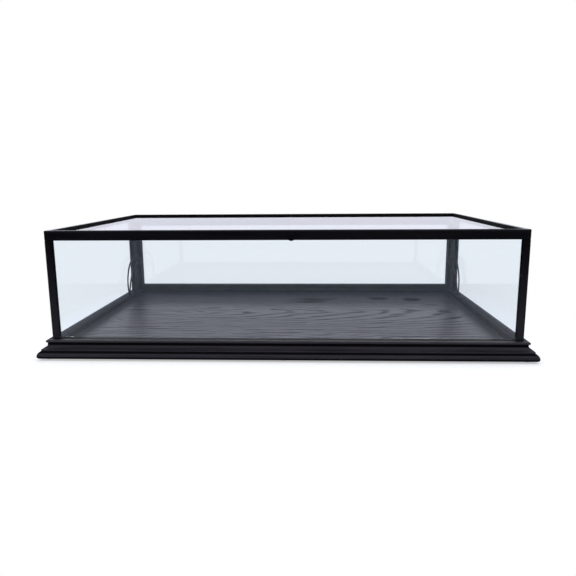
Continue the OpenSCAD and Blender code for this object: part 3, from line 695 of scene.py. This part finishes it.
def pane_glass(name, thin, bend, mirror):
    """Clear glass whose faces lie across the thin axis, with ground edges all round."""
    paint, tree, shader = new_finish(
        name, Transmission_Weight=1.0, IOR=bend, Specular_Tint=(mirror, mirror, mirror, 1.0))
    normal = put(tree, "NewGeometry").outputs["True Normal"]
    turned = put(tree, "VectorTransform", {0: normal},
                 vector_type="NORMAL", convert_from="WORLD", convert_to="OBJECT")
    across = put(tree, "SeparateXYZ", {0: turned.outputs[0]}).outputs[thin]
    ground = calc(tree, "LESS_THAN", calc(tree, "ABSOLUTE", across), EDGE_FACING)
    wipe = stretched(tree, put(tree, "TexCoord").outputs["Object"], WIPE_SCALE, detail=2.0)
    haze = ramp(tree, wipe, *HAZE_EDGE, 0.0, HAZE_ROUGHNESS)
    clean = tint(tree, ramp(tree, wipe, *WIPE_EDGE), PANE_TINT, WIPED_TINT)
    link(tree, shader, Base_Color=tint(tree, ground, clean, EDGE_TINT),
         Alpha=ramp(tree, ground, 0.0, 1.0, 1.0, EDGE_SOLID),
         Roughness=calc(tree, "MULTIPLY_ADD", ground, EDGE_ROUGHNESS, haze))
    clear = put(tree, "BsdfTransparent", {"Color": (*PANE_TINT, 1.0)})
    to_lamp = put(tree, "LightPath").outputs["Is Shadow Ray"]
    show(tree, mix_shaders(tree, to_lamp, shader, clear))
    return paint


glass = {
    "x": pane_glass("glass_side", "X", bend=1.1, mirror=0.15),
    "y": pane_glass("glass_upright", "Y", bend=1.45, mirror=1.0),
    "z": pane_glass("glass_top", "Z", bend=1.45, mirror=1.0),
}
print("pane tint:", PANE_TINT)

# %% [markdown]
# ## Metal, rubber and felt
# Stays and hinges are blackened steel, a little uneven where the oil dried, and the
# screws are blackened zinc. The knob is matt black, the bumpers are rubber and the feet
# are pressed felt. Each is a small recipe of noise for colour, roughness and surface.

# %% Small finishes
SPECKLE_EDGE = (0.3, 0.7)
SPECKLE_M = 0.00006
RECIPES = {
    "stay_steel": {
        "scale": (900, 320, 320), "dark": (0.006, 0.006, 0.007), "light": (0.014, 0.014, 0.016),
        "smooth": 0.62, "dull": 0.8, "bump": 0.1, "gloss": 0.12},
    "hinge_steel": {
        "scale": (900, 900, 900), "dark": (0.016, 0.016, 0.018), "light": (0.030, 0.030, 0.032),
        "smooth": 0.38, "dull": 0.5, "bump": 0.1},
    "fastener_steel": {
        "scale": (1400, 1400, 1400), "dark": (0.08, 0.08, 0.085), "light": (0.15, 0.15, 0.155),
        "smooth": 0.42, "dull": 0.55, "bump": 0.05, "metallic": 1.0},
    "knob_lacquer": {
        "scale": (300, 300, 300), "dark": (0.0036, 0.0036, 0.0040),
        "light": (0.0062, 0.0062, 0.0068), "smooth": 0.8, "dull": 0.95, "bump": 0.05,
        "gloss": 0.05},
    "felt": {
        "scale": (2200, 2200, 900), "dark": (0.012, 0.012, 0.012), "light": (0.045, 0.045, 0.045),
        "smooth": 0.9, "dull": 1.0, "bump": 0.8},
    "rubber": {
        "scale": (1200, 1200, 1200), "dark": (0.010, 0.010, 0.010), "light": (0.020, 0.020, 0.020),
        "smooth": 0.6, "dull": 0.75, "bump": 0.1},
}


def speckled(name, scale, dark, light, smooth, dull, bump, metallic=0.0, gloss=0.5):
    """A finish whose colour, roughness and surface follow one noise."""
    paint, tree, shader = new_finish(name, Metallic=metallic, Specular_IOR_Level=gloss)
    noise = stretched(tree, put(tree, "TexCoord").outputs["Object"], scale, detail=4.0)
    speckle = ramp(tree, noise, *SPECKLE_EDGE)
    link(tree, shader, Base_Color=tint(tree, speckle, dark, light),
         Roughness=ramp(tree, speckle, 0.0, 1.0, smooth, dull),
         Normal=bumped(tree, speckle, bump, SPECKLE_M))
    return paint


finish = {name: speckled(name, **recipe) for name, recipe in RECIPES.items()}
print("small finishes:", sorted(finish))

# %% [markdown]
# ## Bare softwood
# The blocks and battens that nobody sees are left bare. They have the same open grain,
# which runs in depth along the battens, with the colours of a pale softwood.

# %% Hidden wood
SOFTWOOD = (0.26, 0.16, 0.085), (0.46, 0.32, 0.19)
SAWN_ROUGHNESS = (0.62, 0.8)
SAWN_BUMP = (0.3, 0.0003)

softwood, tree, shader = new_finish("hidden_wood")
wood = grain_node(tree, "y")
link(tree, shader, Base_Color=tint(tree, wood["Streaks"], *SOFTWOOD),
     Roughness=ramp(tree, wood["Pores"], 0.0, 1.0, *SAWN_ROUGHNESS),
     Normal=bumped(tree, wood["Height"], *SAWN_BUMP))
finish.update(floor_veneer=veneer, hidden_wood=softwood)
print("finishes:", sorted(finish))

# %% [markdown]
# ## Putting the finishes on
# Every solid keeps its shape and only changes its paint. The long side of its box says
# which way the grain of a wooden piece runs, and the thin side of a pane is the way one
# looks through it.

# %% Paint every piece


def box_axis(name, pick):
    """The letter of the side of a piece's box that the function picks."""
    low, high = (np.array(corner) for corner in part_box(name))
    return "xyz"[int(pick(high - low))]


for name, piece in pieces.items():
    slot = slot_of[name]
    if name.startswith("post"):
        paint = post_paint
    elif name.startswith("top_rail"):
        paint = lid_paint[box_axis(name, np.argmax)]
    elif slot == "frame_lacquer":
        paint = frame_paint[box_axis(name, np.argmax)]
    elif slot == "moulding_wood":
        paint = base_paint[box_axis(name, np.argmax)]
    elif slot == "glass":
        paint = glass[box_axis(name, np.argmin)]
    else:
        paint = finish[slot]
    piece.data.materials.clear()
    piece.data.materials.append(paint)
print("painted:", len(pieces))
